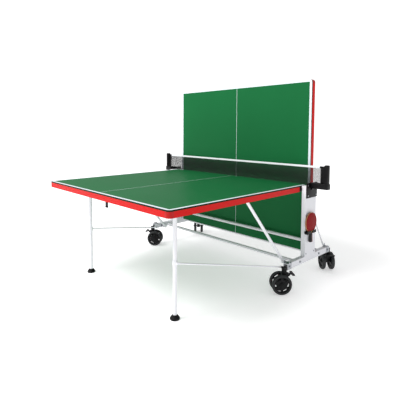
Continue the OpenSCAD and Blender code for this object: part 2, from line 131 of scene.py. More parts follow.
def pick_faces(piece, test):
    edit(piece)
    bpy.ops.object.mode_set(mode="OBJECT")
    for face in piece.data.polygons:
        face.select = test(face.center, face.normal)
    bpy.ops.object.mode_set(mode="EDIT")


def pick_points(piece, test):
    edit(piece, "VERT")
    bpy.ops.object.mode_set(mode="OBJECT")
    for point in piece.data.vertices:
        point.select = test(point.co)
    bpy.ops.object.mode_set(mode="EDIT")


def settle(piece, name, smooth=35):
    """Names a piece, applies its modifiers and its place, and shades it."""
    clear_selection()
    piece.select_set(True)
    bpy.context.view_layer.objects.active = piece
    bpy.ops.object.transform_apply(location=True, rotation=True, scale=True)
    for modifier in list(piece.modifiers):
        bpy.ops.object.modifier_apply(modifier=modifier.name)
    if smooth:
        bpy.ops.object.shade_smooth_by_angle(angle=math.radians(smooth))
    piece.name = piece.data.name = name
    return piece


def block(low, high, bevel=0.001, segments=2):
    """A box between two corners with every edge rounded."""
    clear_selection()
    low, high = Vector(low), Vector(high)
    bpy.ops.mesh.primitive_cube_add(size=1, location=(low + high) / 2, scale=high - low)
    made = bpy.context.object
    bpy.ops.object.transform_apply(location=True, rotation=True, scale=True)
    if bevel:
        edit(made)
        bpy.ops.mesh.select_all(action="SELECT")
        bpy.ops.mesh.bevel(offset=bevel, segments=segments, affect="EDGES", clamp_overlap=True)
        bpy.ops.object.mode_set(mode="OBJECT")
    return made


def drum(centre, radius, depth, axis="X", vertices=32, bevel=0.0008):
    """A disc or rod about an axis, with its two rims rounded."""
    clear_selection()
    turn = {"X": (0, math.pi / 2, 0), "Y": (math.pi / 2, 0, 0), "Z": (0, 0, 0)}[axis]
    bpy.ops.mesh.primitive_cylinder_add(vertices=vertices, radius=radius, depth=depth, location=centre, rotation=turn)
    made = bpy.context.object
    bpy.ops.object.transform_apply(location=True, rotation=True, scale=True)
    if bevel:
        way = Vector((axis == "X", axis == "Y", axis == "Z"))
        pick_faces(made, lambda c, n: abs(n.dot(way)) > 0.9)
        bpy.ops.mesh.bevel(offset=bevel, segments=2, affect="EDGES")
        bpy.ops.object.mode_set(mode="OBJECT")
    return made


def weld(pieces, name, smooth=35):
    """Joins pieces into one."""
    clear_selection()
    for piece in pieces:
        piece.select_set(True)
    bpy.context.view_layer.objects.active = pieces[0]
    if len(pieces) > 1:
        bpy.ops.object.join()
    return settle(pieces[0], name, smooth)


def copy_to(piece, name, matrix):
    """A copy with its own mesh, put in its place."""
    made = piece.copy()
    made.data = piece.data.copy()
    bpy.context.scene.collection.objects.link(made)
    made.data.transform(matrix)
    made.name = made.data.name = name
    return made


def dress(piece, material):
    piece.data.materials.clear()
    piece.data.materials.append(material)


def drop(piece):
    bpy.data.objects.remove(piece, do_unlink=True)


# ---------------------------------------------------------------- finishes

def table_coating(looks):
    # Satin acrylic coat rolled on to board: an even green with a very fine stipple and a soft sheen
    material, shader = start_material("rolled acrylic coating", Roughness=0.42, IOR=1.5, Specular_IOR_Level=0.07)
    place = put(material, "ShaderNodeTexCoord").outputs["Object"]
    cloud = put(material, "ShaderNodeTexNoise", {"Vector": place, "Scale": 2.2, "Detail": 3.0})
    face = put(material, "ShaderNodeMix", {0: cloud.outputs["Fac"], 6: linear(looks.coating_dark),
                                           7: linear(looks.coating)}, data_type="RGBA")
    # The sawn edge gets a very dark green band: painted shade for the shadowed gap between the top's white line and
    # the apron
    normal = put(material, "ShaderNodeSeparateXYZ",
                 {"Vector": put(material, "ShaderNodeTexCoord").outputs["Normal"]})
    up = put(material, "ShaderNodeMath", {0: normal.outputs["Z"]}, operation="ABSOLUTE")
    along = put(material, "ShaderNodeMath", {0: normal.outputs["Y"]}, operation="ABSOLUTE")
    return material, shader, place, face, up, along


def board_finish(looks, half):
    material, shader, place, face, up, along = table_coating(looks)
    material.name = "rolled acrylic coating, half " + half
    flat = up if half == "a" else along
    # Faces that are not flat take the edge colour, a painted shade for the gap above the apron
    edge = put(material, "ShaderNodeMath", {0: flat.outputs[0], 1: 0.5}, operation="LESS_THAN")
    mixed = put(material, "ShaderNodeMix", {0: edge.outputs[0], 6: face.outputs[2],
                                            7: linear(looks.edge_painted_shade)}, data_type="RGBA")
    join_up(material, mixed.outputs[2], shader.inputs["Base Color"])
    # The roller's stipple is about 1.5 mm from peak to peak
    stipple = put(material, "ShaderNodeTexNoise", {"Vector": place, "Scale": 650.0, "Detail": 2.0})
    bump = put(material, "ShaderNodeBump", {"Height": stipple.outputs["Fac"], "Strength": 0.12, "Distance": 0.0004})
    join_up(material, bump.outputs["Normal"], shader.inputs["Normal"])
    rough = put(material, "ShaderNodeMapRange", {"Value": stipple.outputs["Fac"], "To Min": 0.38, "To Max": 0.5})
    join_up(material, rough.outputs["Result"], shader.inputs["Roughness"])
    return material


def painted_metal(name, colour, shade, rough, grain=260.0, depth=0.12):
    # Powder coat on steel: even colour, soft gloss and the faint orange peel of baked powder
    material, shader = start_material(name, IOR=1.5, Metallic=0.0, Specular_IOR_Level=0.14)
    place = put(material, "ShaderNodeTexCoord").outputs["Object"]
    drift = put(material, "ShaderNodeTexNoise", {"Vector": place, "Scale": 3.5, "Detail": 4.0})
    mixed = put(material, "ShaderNodeMix", {0: drift.outputs["Fac"], 6: linear(shade), 7: linear(colour)},
                data_type="RGBA")
    join_up(material, mixed.outputs[2], shader.inputs["Base Color"])
    peel = put(material, "ShaderNodeTexNoise", {"Vector": place, "Scale": grain, "Detail": 1.0})
    bump = put(material, "ShaderNodeBump", {"Height": peel.outputs["Fac"], "Strength": depth, "Distance": 0.0005})
    join_up(material, bump.outputs["Normal"], shader.inputs["Normal"])
    gloss = put(material, "ShaderNodeMapRange", {"Value": drift.outputs["Fac"], "To Min": rough - 0.05,
                                                 "To Max": rough + 0.06})
    join_up(material, gloss.outputs["Result"], shader.inputs["Roughness"])
    return material


def moulded_plastic(name, colour, shade, rough, grain=900.0):
    # Moulded polypropylene or ABS: a fine spark-eroded grain that dulls the shine
    material, shader = start_material(name, IOR=1.46, Specular_IOR_Level=0.22)
    place = put(material, "ShaderNodeTexCoord").outputs["Object"]
    drift = put(material, "ShaderNodeTexNoise", {"Vector": place, "Scale": 14.0, "Detail": 5.0})
    mixed = put(material, "ShaderNodeMix", {0: drift.outputs["Fac"], 6: linear(shade), 7: linear(colour)},
                data_type="RGBA")
    join_up(material, mixed.outputs[2], shader.inputs["Base Color"])
    pits = put(material, "ShaderNodeTexVoronoi", {"Vector": place, "Scale": grain})
    bump = put(material, "ShaderNodeBump", {"Height": pits.outputs["Distance"], "Strength": 0.15,
                                            "Distance": 0.0003})
    join_up(material, bump.outputs["Normal"], shader.inputs["Normal"])
    gloss = put(material, "ShaderNodeMapRange", {"Value": drift.outputs["Fac"], "To Min": rough - 0.06,
                                                 "To Max": rough + 0.08})
    join_up(material, gloss.outputs["Result"], shader.inputs["Roughness"])
    return material


def zinc_plate():
    # Bright zinc plate on steel: a cool grey metal with a cloudy passivated film
    material, shader = start_material("zinc plated steel", Metallic=1.0)
    place = put(material, "ShaderNodeTexCoord").outputs["Object"]
    film = put(material, "ShaderNodeTexNoise", {"Vector": place, "Scale": 90.0, "Detail": 4.0})
    mixed = put(material, "ShaderNodeMix", {0: film.outputs["Fac"], 6: linear("#8f9298"), 7: linear("#bfc2c6")},
                data_type="RGBA")
    join_up(material, mixed.outputs[2], shader.inputs["Base Color"])
    gloss = put(material, "ShaderNodeMapRange", {"Value": film.outputs["Fac"], "To Min": 0.28, "To Max": 0.45})
    join_up(material, gloss.outputs["Result"], shader.inputs["Roughness"])
    return material


def tyre_rubber():
    # Soft grey-black thermoplastic rubber: nearly matt, with a little floor dust on it
    material, shader = start_material("soft tread rubber", IOR=1.52)
    place = put(material, "ShaderNodeTexCoord").outputs["Object"]
    dust = put(material, "ShaderNodeTexNoise", {"Vector": place, "Scale": 45.0, "Detail": 6.0})
    mixed = put(material, "ShaderNodeMix", {0: dust.outputs["Fac"], 6: linear("#090b0d"), 7: linear("#1c2023")},
                data_type="RGBA")
    join_up(material, mixed.outputs[2], shader.inputs["Base Color"])
    gloss = put(material, "ShaderNodeMapRange", {"Value": dust.outputs["Fac"], "To Min": 0.45, "To Max": 0.7})
    join_up(material, gloss.outputs["Result"], shader.inputs["Roughness"])
    bump = put(material, "ShaderNodeBump", {"Height": dust.outputs["Fac"], "Strength": 0.2, "Distance": 0.0004})
    join_up(material, bump.outputs["Normal"], shader.inputs["Normal"])
    return material


def twine(name, colour, shade):
    # Twisted polyester twine: fine slanting strands about 1 mm apart, with a little fuzz
    material, shader = start_material(name, Roughness=0.8, IOR=1.5, Sheen_Weight=0.2)
    place = put(material, "ShaderNodeTexCoord").outputs["Object"]
    strand = put(material, "ShaderNodeTexWave", {"Vector": place, "Scale": 160.0, "Distortion": 1.0},
                 bands_direction="DIAGONAL")
    mixed = put(material, "ShaderNodeMix", {0: strand.outputs["Fac"], 6: linear(shade), 7: linear(colour)},
                data_type="RGBA")
    join_up(material, mixed.outputs[2], shader.inputs["Base Color"])
    bump = put(material, "ShaderNodeBump", {"Height": strand.outputs["Fac"], "Strength": 0.4, "Distance": 0.0004})
    join_up(material, bump.outputs["Normal"], shader.inputs["Normal"])
    return material


def woven_tape():
    # Cotton herringbone tape: a plain weave with threads drawn 1.2 mm apart so that they show
    material, shader = start_material("woven cotton tape", Roughness=0.85, IOR=1.5, Sheen_Weight=0.25)
    place = put(material, "ShaderNodeTexCoord").outputs["Object"]
    warp = put(material, "ShaderNodeTexWave", {"Vector": place, "Scale": 130.0}, bands_direction="X")
    weft = put(material, "ShaderNodeTexWave", {"Vector": place, "Scale": 130.0}, bands_direction="Z")
    cloth = put(material, "ShaderNodeMath", {0: warp.outputs["Fac"], 1: weft.outputs["Fac"]}, operation="MULTIPLY")
    mixed = put(material, "ShaderNodeMix", {0: cloth.outputs[0], 6: linear("#e3e6ea"), 7: linear("#fbfcfd")},
                data_type="RGBA")
    join_up(material, mixed.outputs[2], shader.inputs["Base Color"])
    bump = put(material, "ShaderNodeBump", {"Height": cloth.outputs[0], "Strength": 0.3, "Distance": 0.0003})
    join_up(material, bump.outputs["Normal"], shader.inputs["Normal"])
    return material


def plywood():
    # Basswood ply: pale plies about 1.3 mm thick with long grain down the blade
    material, shader = start_material("basswood ply", IOR=1.5)
    place = put(material, "ShaderNodeTexCoord").outputs["Object"]
    stretched = put(material, "ShaderNodeMapping", {"Vector": place, "Scale": (1.0, 1.0, 0.06)})
    grain = put(material, "ShaderNodeTexNoise",
                {"Vector": stretched.outputs["Vector"], "Scale": 260.0, "Detail": 6.0})
    plies = put(material, "ShaderNodeTexWave", {"Vector": place, "Scale": 240.0}, bands_direction="X")
    both = put(material, "ShaderNodeMath", {0: grain.outputs["Fac"], 1: plies.outputs["Fac"]}, operation="MULTIPLY")
    mixed = put(material, "ShaderNodeMix", {0: both.outputs[0], 6: linear("#a37a49"), 7: linear("#d8b483")},
                data_type="RGBA")
    join_up(material, mixed.outputs[2], shader.inputs["Base Color"])
    gloss = put(material, "ShaderNodeMapRange", {"Value": grain.outputs["Fac"], "To Min": 0.4, "To Max": 0.6})
    join_up(material, gloss.outputs["Result"], shader.inputs["Roughness"])
    return material


def bat_rubber(looks):
    # Pimples-out rubber sheet: a deep red with a close grid of dots, 2.6 mm apart, darker red towards each dot's edge
    # as painted shade in the hollows between the pimples
    material, shader = start_material("pimpled bat rubber", IOR=1.52, Specular_IOR_Level=0.12)
    place = put(material, "ShaderNodeTexCoord").outputs["Object"]
    dots = put(material, "ShaderNodeTexVoronoi", {"Vector": place, "Scale": 380.0, "Randomness": 0.0})
    # The darker red away from each dot's centre is painted shade in the hollows between the pimples
    mixed = put(material, "ShaderNodeMix", {0: dots.outputs["Distance"], 6: linear(looks.bat_red),
                                            7: linear("#6e0206")}, data_type="RGBA")
    join_up(material, mixed.outputs[2], shader.inputs["Base Color"])
    gloss = put(material, "ShaderNodeMapRange", {"Value": dots.outputs["Distance"], "To Min": 0.5, "To Max": 0.65})
    join_up(material, gloss.outputs["Result"], shader.inputs["Roughness"])
    bump = put(material, "ShaderNodeBump", {"Height": dots.outputs["Distance"], "Strength": 0.5, "Distance": 0.0006},
               invert=True)
    join_up(material, bump.outputs["Normal"], shader.inputs["Normal"])
    return material


def bat_grip_finish(looks):
    # Two-colour wrapped grip: black with one red side, ribbed every 4 mm
    material, shader = start_material("ribbed grip foam", IOR=1.48)
    place = put(material, "ShaderNodeTexCoord").outputs["Object"]
    split = put(material, "ShaderNodeSeparateXYZ", {"Vector": place})
    low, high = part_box("bat_grip")
    red = put(material, "ShaderNodeMath", {0: split.outputs["Y"], 1: (low[1] + high[1]) / 2 + 0.006},
              operation="GREATER_THAN")
    mixed = put(material, "ShaderNodeMix", {0: red.outputs[0], 6: linear("#0f0f10"), 7: linear(looks.bat_red)},
                data_type="RGBA")
    join_up(material, mixed.outputs[2], shader.inputs["Base Color"])
    ribs = put(material, "ShaderNodeTexWave", {"Vector": place, "Scale": 40.0}, bands_direction="Z")
    bump = put(material, "ShaderNodeBump", {"Height": ribs.outputs["Fac"], "Strength": 0.5, "Distance": 0.0008})
    join_up(material, bump.outputs["Normal"], shader.inputs["Normal"])
    gloss = put(material, "ShaderNodeMapRange", {"Value": ribs.outputs["Fac"], "To Min": 0.55, "To Max": 0.75})
    join_up(material, gloss.outputs["Result"], shader.inputs["Roughness"])
    return material


FINISH = {}


def finishes(looks):
    """Every finish of the table, made once."""
    if not FINISH:
        FINISH.update({
            "board_a": board_finish(looks, "a"),
            "board_b": board_finish(looks, "b"),
            "line": painted_metal("white line enamel", "#e3eaf0", "#d9e1e8", 0.4, 500.0, 0.06),
            "apron": painted_metal("red powder coat", looks.apron_red, "#c00704", 0.4, 240.0, 0.18),
            "corner": moulded_plastic("dark red ABS moulding", looks.corner_red, "#a80d0a", 0.34),
            "frame": painted_metal("white powder coat on sheet steel", "#e9eaee", "#dcdde2", 0.4),
            "tube": painted_metal("white powder coat on tube", "#f3f4f8", "#e8e9ee", 0.36),
            "zinc": zinc_plate(),
            "nylon": moulded_plastic("natural nylon", "#d9d6cb", "#c8c4b7", 0.45),
            "black_steel": painted_metal("black powder coat", "#0d0d0f", "#070708", 0.42),
            "black_plastic": moulded_plastic("black polypropylene", "#0c0c0e", "#060607", 0.45),
            "caster": moulded_plastic("black caster nylon", "#0f1113", "#08090a", 0.38),
            "tyre": tyre_rubber(),
            "net": twine("black polyester twine", "#0b0b0d", "#040405"),
            "tape": woven_tape(),
            "ply": plywood(),
            "bat_rubber": bat_rubber(looks),
            "grip": bat_grip_finish(looks),
        })
    return FINISH


SLOT_FINISH = {
    "apron_paint": "apron", "corner_plastic": "corner", "frame_paint": "frame", "tube_paint": "tube",
    "zinc": "zinc", "nylon": "nylon", "black_steel": "black_steel", "black_plastic": "black_plastic",
    "foot_plastic": "black_plastic", "caster_plastic": "caster", "wheel_tyre": "tyre", "net_cord": "net",
    "net_tape": "tape", "bat_wood": "ply", "bat_rubber": "bat_rubber", "bat_grip": "grip",
}


# ---------------------------------------------------------------- settings

class TableLooks(bpy.types.PropertyGroup):
    """Colours and small sizes of the table's finishes"""
    coating: bpy.props.StringProperty(name="Coating", description="Green of the playing face", default="#19693a")
    coating_dark: bpy.props.StringProperty(name="Coating, shaded", description="Darker drift of the playing face",
                                           default="#156034")
    # Painted shade: this very dark green on the board's edge stands in for the shadowed gap above the apron
    edge_painted_shade: bpy.props.StringProperty(name="Edge band", description="Sealed edge of the board", default="#0c2416")
    apron_red: bpy.props.StringProperty(name="Apron", description="Red of the apron", default="#cc0805")
    corner_red: bpy.props.StringProperty(name="Corner caps", description="Red of the corner caps", default="#b9100c")
    bat_red: bpy.props.StringProperty(name="Bat rubber", description="Red of the bat's rubber", default="#8f0208")
    line_width: bpy.props.FloatProperty(name="Side line", description="Width of the side and end lines",
                                        default=0.020, min=0.005, max=0.05, unit="LENGTH")
    centre_width: bpy.props.FloatProperty(name="Centre line", description="Width of the centre line",
                                          default=0.003, min=0.002, max=0.01, unit="LENGTH")
    paint: bpy.props.FloatProperty(name="Line paint", description="Thickness of the line paint",
                                   default=0.00025, min=0.0001, max=0.001, unit="LENGTH")
    corner_radius: bpy.props.FloatProperty(name="Corner radius", description="Radius of the top's corners",
                                           default=0.024, min=0.0, max=0.1, unit="LENGTH")


class NetLooks(bpy.types.PropertyGroup):
    """Sizes of the net"""
    mesh_size: bpy.props.FloatProperty(name="Mesh", description="Distance from one cord to the next",
                                       default=0.0075, min=0.0075, max=0.02, unit="LENGTH")
    cord: bpy.props.FloatProperty(name="Cord", description="Thickness of a cord",
                                  default=0.0041, min=0.0008, max=0.005, unit="LENGTH")


class StudioLooks(bpy.types.PropertyGroup):
    """The studio round the table"""
    key_power: bpy.props.FloatProperty(name="Key light", description="Power of the large light over the table",
                                       default=305.0, min=0.0, unit="POWER")
    fill_power: bpy.props.FloatProperty(name="Fill light", description="Power of the light by the camera",
                                        default=16.0, min=0.0, unit="POWER")
    sky: bpy.props.FloatProperty(name="Surround", description="Light from the white surround",
                                 default=0.55, min=0.0)
    floor_glow: bpy.props.FloatProperty(name="Floor glow", description="Light the floor gives off by itself",
                                        default=0.42, min=0.0)


# ---------------------------------------------------------------- pieces

class TABLE_OT_finishes(bpy.types.Operator):
    """Gives every part of the model its finish"""
    bl_idname = "table.finishes"
    bl_label = "Finishes"

    def execute(self, context):
        made = finishes(context.scene.table_looks)
        slots = {row["node"]: row["material_slot"] for row in frame["record"]["subparts"]}
        for name, node in frame["nodes"].items():
            key = name if name.startswith("board_") else SLOT_FINISH[slots[name]]
            for slot in node.material_slots:
                slot.material = made[key]
        return {"FINISHED"}


def place_of_half(half):
    """Moves a piece drawn flat at z 0, with the net's edge at y 0, on to a half's playing face."""
    if half == "a":
        return Matrix.Translation((0, PLAY_HIGH.y, PLAY_HIGH.z)) @ Matrix.Rotation(math.pi, 4, "Z")
    return Matrix.Translation((0, WALL_LOW.y, WALL_LOW.z)) @ Matrix.Rotation(math.pi / 2, 4, "X")


class TABLE_OT_court_lines(bpy.types.Operator):
    """Side, end and centre lines on both playing faces"""
    bl_idname = "table.court_lines"
    bl_label = "Court lines"

    def execute(self, context):
        looks = context.scene.table_looks
        width = PLAY_HIGH.x - PLAY_LOW.x
        length = PLAY_HIGH.y - PLAY_LOW.y
        line = looks.line_width
        clear_selection()
        # One sheet over the half and past the net's edge, its outer corners rounded
        bpy.ops.mesh.primitive_plane_add(size=1, location=(0, (length - line) / 2, 0))
        border = bpy.context.object
        border.scale = (width, length + line, 1)
        bpy.ops.object.transform_apply(location=True, rotation=True, scale=True)
        pick_points(border, lambda p: p.y > length / 2)
        bpy.ops.mesh.bevel(offset=looks.corner_radius, segments=8, affect="VERTICES")
        # What is left after the field is taken out is the border
        bpy.ops.mesh.select_mode(type="FACE")
        bpy.ops.mesh.select_all(action="SELECT")
        bpy.ops.mesh.inset(thickness=line, depth=0)
        bpy.ops.mesh.delete(type="FACE")
        bpy.ops.mesh.select_all(action="SELECT")
        bpy.ops.mesh.bisect(plane_co=(0, 0, 0), plane_no=(0, 1, 0), clear_inner=True)
        bpy.ops.object.mode_set(mode="OBJECT")
        clear_selection()
        bpy.ops.mesh.primitive_plane_add(size=1, location=(0, (length - line) / 2, 0))
        middle = bpy.context.object
        middle.scale = (looks.centre_width, length - line, 1)
        bpy.ops.object.transform_apply(location=True, rotation=True, scale=True)
        sheet = weld([border, middle], "court_lines", smooth=0)
        coat = sheet.modifiers.new("Paint", "SOLIDIFY")
        coat.thickness, coat.offset = looks.paint, 1.0
        settle(sheet, "court_lines", smooth=0)
        for half in HALVES:
            lines = copy_to(sheet, "court_lines_" + half, place_of_half(half))
            dress(lines, FINISH["line"])
            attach(lines, "half_" + half)
        drop(sheet)
        return {"FINISHED"}


class TABLE_OT_net(bpy.types.Operator):
    """Knotted net, its white tape and the cord ends at the posts"""
    bl_idname = "table.net"
    bl_label = "Net"

    def execute(self, context):
        size = context.scene.net_looks
        low, high = (Vector(v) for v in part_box("net_mesh"))
        tape_low, tape_high = (Vector(v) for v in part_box("net_tape"))
        mid = (low + high) / 2
        wide, tall = high.x - low.x, high.z - low.z
        clear_selection()
        bpy.ops.mesh.primitive_grid_add(x_subdivisions=round(wide / size.mesh_size),
                                        y_subdivisions=round(tall / size.mesh_size), size=1, location=mid,
                                        rotation=(math.pi / 2, 0, 0))
        net = bpy.context.object
        net.scale = (wide, tall, 1)
        bpy.ops.object.transform_apply(location=True, rotation=True, scale=True)
        # The cords hang a little slack below the tape
        for point in net.data.vertices:
            free = (high.z - point.co.z) / tall
            point.co.y += 0.0022 * free * math.sin(point.co.x * 9.0) + 0.0010 * free * math.sin(point.co.x * 37.0)
        cords = net.modifiers.new("Cords", "WIREFRAME")
        cords.thickness = size.cord
        cords.use_even_offset = False
        settle(net, "net_weave", smooth=0)
        dress(net, FINISH["net"])
        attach(net, "undercarriage")
        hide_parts("net_mesh")

        # The tape is folded over the head cord: a strip bent into an arch and given its thickness
        clear_selection()
        bpy.ops.mesh.primitive_cylinder_add(vertices=24, radius=0.0022, depth=wide - 0.004, end_fill_type="NOTHING",
                                            location=(0, mid.y, tape_high.z - 0.0027), rotation=(0, math.pi / 2, 0))
        tape = bpy.context.object
        bpy.ops.object.transform_apply(location=True, rotation=True, scale=True)
        pick_faces(tape, lambda c, n: n.z < -0.05)
        bpy.ops.mesh.delete(type="FACE")
        bpy.ops.object.mode_set(mode="OBJECT")
        edit(tape, "EDGE")
        bpy.ops.object.mode_set(mode="OBJECT")
        floor_z = min(p.co.z for p in tape.data.vertices)
        for edge in tape.data.edges:
            a, b = (tape.data.vertices[i].co for i in edge.vertices)
            edge.select = abs(a.z - floor_z) < 1e-5 and abs(b.z - floor_z) < 1e-5 and abs(a.x - b.x) > 0.1
        bpy.ops.object.mode_set(mode="EDIT")
        bpy.ops.mesh.extrude_region_move(
            TRANSFORM_OT_translate={"value": (0, 0, tape_low.z - floor_z)})
        bpy.ops.object.mode_set(mode="OBJECT")
        wall = tape.modifiers.new("Cloth", "SOLIDIFY")
        wall.thickness, wall.offset = 0.0005, 0.0
        settle(tape, "net_head_tape")
        dress(tape, FINISH["tape"])
        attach(tape, "undercarriage")
        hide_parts("net_tape")

        # Black sleeves where the head cord is tied to the posts, and a canvas band down each end
        ends = []
        for side in (-1, 1):
            x = side * (high.x - 0.022)
            ends.append(block((x - 0.02, mid.y - 0.0036, tape_low.z - 0.001), (x + 0.02, mid.y + 0.0036, tape_high.z),
                              0.0015))
            x = side * (high.x - 0.0175)
            ends.append(block((x - 0.0165, mid.y - 0.0032, low.z + 0.001), (x + 0.0165, mid.y + 0.0032, tape_low.z),
                              0.001))
        sleeves = weld(ends, "net_cord_sleeves")
        dress(sleeves, FINISH["black_plastic"])
        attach(sleeves, "undercarriage")
        return {"FINISHED"}


def wheel_pattern():
    """One caster wheel about the x axis: tyre, rim, six spokes and a capped hub."""
    low, high = (Vector(v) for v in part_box("wheel_inner_near_front"))
    radius = high.z / 2 + low.z / 2
    width = WHEEL_WIDTH
    rim = radius - TYRE_HEIGHT
    clear_selection()
    # Tyre: an oval section spun round the axle
    bpy.ops.mesh.primitive_circle_add(vertices=16, radius=1, location=(0, 0, radius - 0.0095),
                                      rotation=(math.pi / 2, 0, 0))
    tyre = bpy.context.object
    tyre.scale = (width / 2, 0.0095, 1)
    bpy.ops.object.transform_apply(location=True, rotation=True, scale=True)
    edit(tyre, "VERT")
    bpy.ops.mesh.select_all(action="SELECT")
    bpy.ops.mesh.spin(steps=56, angle=2 * math.pi, center=(0, 0, 0), axis=(1, 0, 0))
    bpy.ops.mesh.select_all(action="SELECT")
    bpy.ops.mesh.remove_doubles(threshold=1e-6)
    bpy.ops.mesh.normals_make_consistent(inside=False)
    bpy.ops.object.mode_set(mode="OBJECT")
    tyre = settle(tyre, "tyre", smooth=50)
    # Rim: a flat band inside the tyre
    clear_selection()
    bpy.ops.mesh.primitive_cylinder_add(vertices=56, radius=rim + 0.001, depth=width - 0.006, end_fill_type="NOTHING",
                                        rotation=(0, math.pi / 2, 0))
    band = bpy.context.object
    wall = band.modifiers.new("Wall", "SOLIDIFY")
    wall.thickness, wall.offset = 0.006, -1.0
    band = settle(band, "rim")
    parts = [band, drum((0, 0, 0), 0.018, width, vertices=40, bevel=0.0015),
             drum((0, 0, 0), rim - 0.018, 0.012, vertices=48, bevel=0.002),
             drum((width / 2, 0, 0), 0.0095, 0.004, vertices=32, bevel=0.0015),
             drum((-width / 2, 0, 0), 0.0095, 0.004, vertices=32, bevel=0.0015)]
    for i in range(SPOKES):
        # Each spoke is wider at the hub and rounded along its edges
        spoke = block((-0.008, -0.010, 0.010), (0.008, 0.010, rim - 0.001), 0)
        pick_faces(spoke, lambda c, n: n.z > 0.9)
        bpy.ops.transform.resize(value=(0.9, 0.8, 1))
        bpy.ops.mesh.select_all(action="SELECT")
        bpy.ops.mesh.bevel(offset=0.0012, segments=2, affect="EDGES")
        bpy.ops.object.mode_set(mode="OBJECT")
        spoke.data.transform(Matrix.Rotation(i * 2 * math.pi / SPOKES, 4, "X"))
        parts.append(spoke)
    centre = weld(parts, "wheel_centre")
    return tyre, centre


class TABLE_OT_wheels(bpy.types.Operator):
    """Spoked wheels with soft tyres on the four casters"""
    bl_idname = "table.wheels"
    bl_label = "Caster wheels"

    def execute(self, context):
        tyre, centre = wheel_pattern()
        joints = {joint["name"]: joint for joint in frame["joints"]}
        for corner in CORNERS:
            for side in ("inner", "outer"):
                joint = joints[f"spin_{side}_{corner}"]
                axle = Vector(joint["axis"])
                turn = Vector((1, 0, 0)).rotation_difference(axle).to_matrix().to_4x4()
                place = Matrix.Translation(Vector(joint["pos_m"])) @ turn
                body = f"{side}_wheel_{corner}"
                for pattern, finish, slot in ((tyre, "tyre", "wheel_tyre"), (centre, "caster", "caster_plastic")):
                    piece = copy_to(pattern, f"{pattern.name}_{side}_{corner}", place)
                    dress(piece, FINISH[finish])
                    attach(piece, body)
                    if finish == "tyre":
                        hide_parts(f"wheel_{side}_{corner}")
        drop(tyre)
        drop(centre)
        return {"FINISHED"}


class TABLE_OT_bat(bpy.types.Operator):
    """The stowed bat: ply blade, two rubbers and a flared grip"""
    bl_idname = "table.bat"
    bl_label = "Bat"

    def execute(self, context):
        low, high = (Vector(v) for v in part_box("bat_blade"))
        red_low, red_high = (Vector(v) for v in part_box("bat_rubbers"))
        grip_low, grip_high = (Vector(v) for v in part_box("bat_grip"))
        mid_x, mid_y = (low.x + high.x) / 2, (low.y + high.y) / 2
        radius = (high.y - low.y) / 2
        centre_z = high.z - radius

        def disc(r, cut, thick, x):
            clear_selection()
            bpy.ops.mesh.primitive_circle_add(vertices=72, radius=r, fill_type="NGON",
                                              location=(x, mid_y, centre_z), rotation=(0, math.pi / 2, 0))
            made = bpy.context.object
            bpy.ops.object.transform_apply(location=True, rotation=True, scale=True)
            if cut:
                edit(made)
                bpy.ops.mesh.select_all(action="SELECT")
                bpy.ops.mesh.bisect(plane_co=(x, mid_y, centre_z - cut), plane_no=(0, 0, 1), clear_inner=True)
                bpy.ops.object.mode_set(mode="OBJECT")
            body = made.modifiers.new("Thickness", "SOLIDIFY")
            body.thickness, body.offset = thick, 0.0
            rim = made.modifiers.new("Rim", "BEVEL")
            rim.width, rim.segments, rim.limit_method = 0.0007, 2, "ANGLE"
            return settle(made, "disc")

        wood = disc(radius, 0, high.x - low.x, mid_x)
        neck = block((low.x, mid_y - 0.0125, low.z), (high.x, mid_y + 0.0125, centre_z - radius + 0.02), 0.0008)
        blade = weld([wood, neck], "bat_wood_blade")
        dress(blade, FINISH["ply"])
        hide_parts("bat_blade")

        sheet = (red_high.x - red_low.x - (high.x - low.x)) / 2
        faces = [disc(radius - 0.0008, radius - 0.012, sheet, mid_x + s * ((high.x - low.x) + sheet) / 2)
                 for s in (-1, 1)]
        rubbers = weld(faces, "bat_rubber_sheets")
        dress(rubbers, FINISH["bat_rubber"])
        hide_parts("bat_rubbers")

        # Grip: flared at its lower end, with all its edges well rounded
        grip = block(grip_low, grip_high, 0)
        edit(grip)
        bpy.ops.mesh.select_all(action="SELECT")
        bpy.ops.mesh.subdivide(number_cuts=3)
        bpy.ops.object.mode_set(mode="OBJECT")
        for point in grip.data.vertices:
            t = (point.co.z - grip_low.z) / (grip_high.z - grip_low.z)
            k = 1.0 - 0.16 * math.sin(math.pi * min(1.0, t * 1.1) / 2) ** 2
            point.co.x = mid_x + (point.co.x - mid_x) * k
            point.co.y = mid_y + (point.co.y - mid_y) * k
        rounding = grip.modifiers.new("Rounding", "BEVEL")
        rounding.width, rounding.segments, rounding.limit_method = 0.0045, 4, "ANGLE"
        rounding.angle_limit = math.radians(50)
        grip = settle(grip, "bat_flared_grip", smooth=60)
        dress(grip, FINISH["grip"])
        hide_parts("bat_grip")
        for piece in (blade, rubbers, grip):
            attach(piece, "bat")
        return {"FINISHED"}


def screw_pattern(radius=0.006, height=0.0025):
    """A round head with a hexagon socket, about the x axis with its head towards +x."""
    clear_selection()
    bpy.ops.mesh.primitive_cylinder_add(vertices=24, radius=radius, depth=height, location=(height / 2, 0, 0),
                                        rotation=(0, math.pi / 2, 0))
    head = bpy.context.object
    bpy.ops.object.transform_apply(location=True, rotation=True, scale=True)
    pick_faces(head, lambda c, n: n.x > 0.9)
    bpy.ops.mesh.bevel(offset=height * 0.4, segments=3, affect="EDGES")
    bpy.ops.object.mode_set(mode="OBJECT")
    pick_faces(head, lambda c, n: n.x > 0.99 and c.x > height * 0.95)
    bpy.ops.mesh.inset(thickness=radius * 0.35, depth=0)
    bpy.ops.mesh.inset(thickness=0.0001, depth=-height * 0.6)
    bpy.ops.object.mode_set(mode="OBJECT")
    return settle(head, "screw")


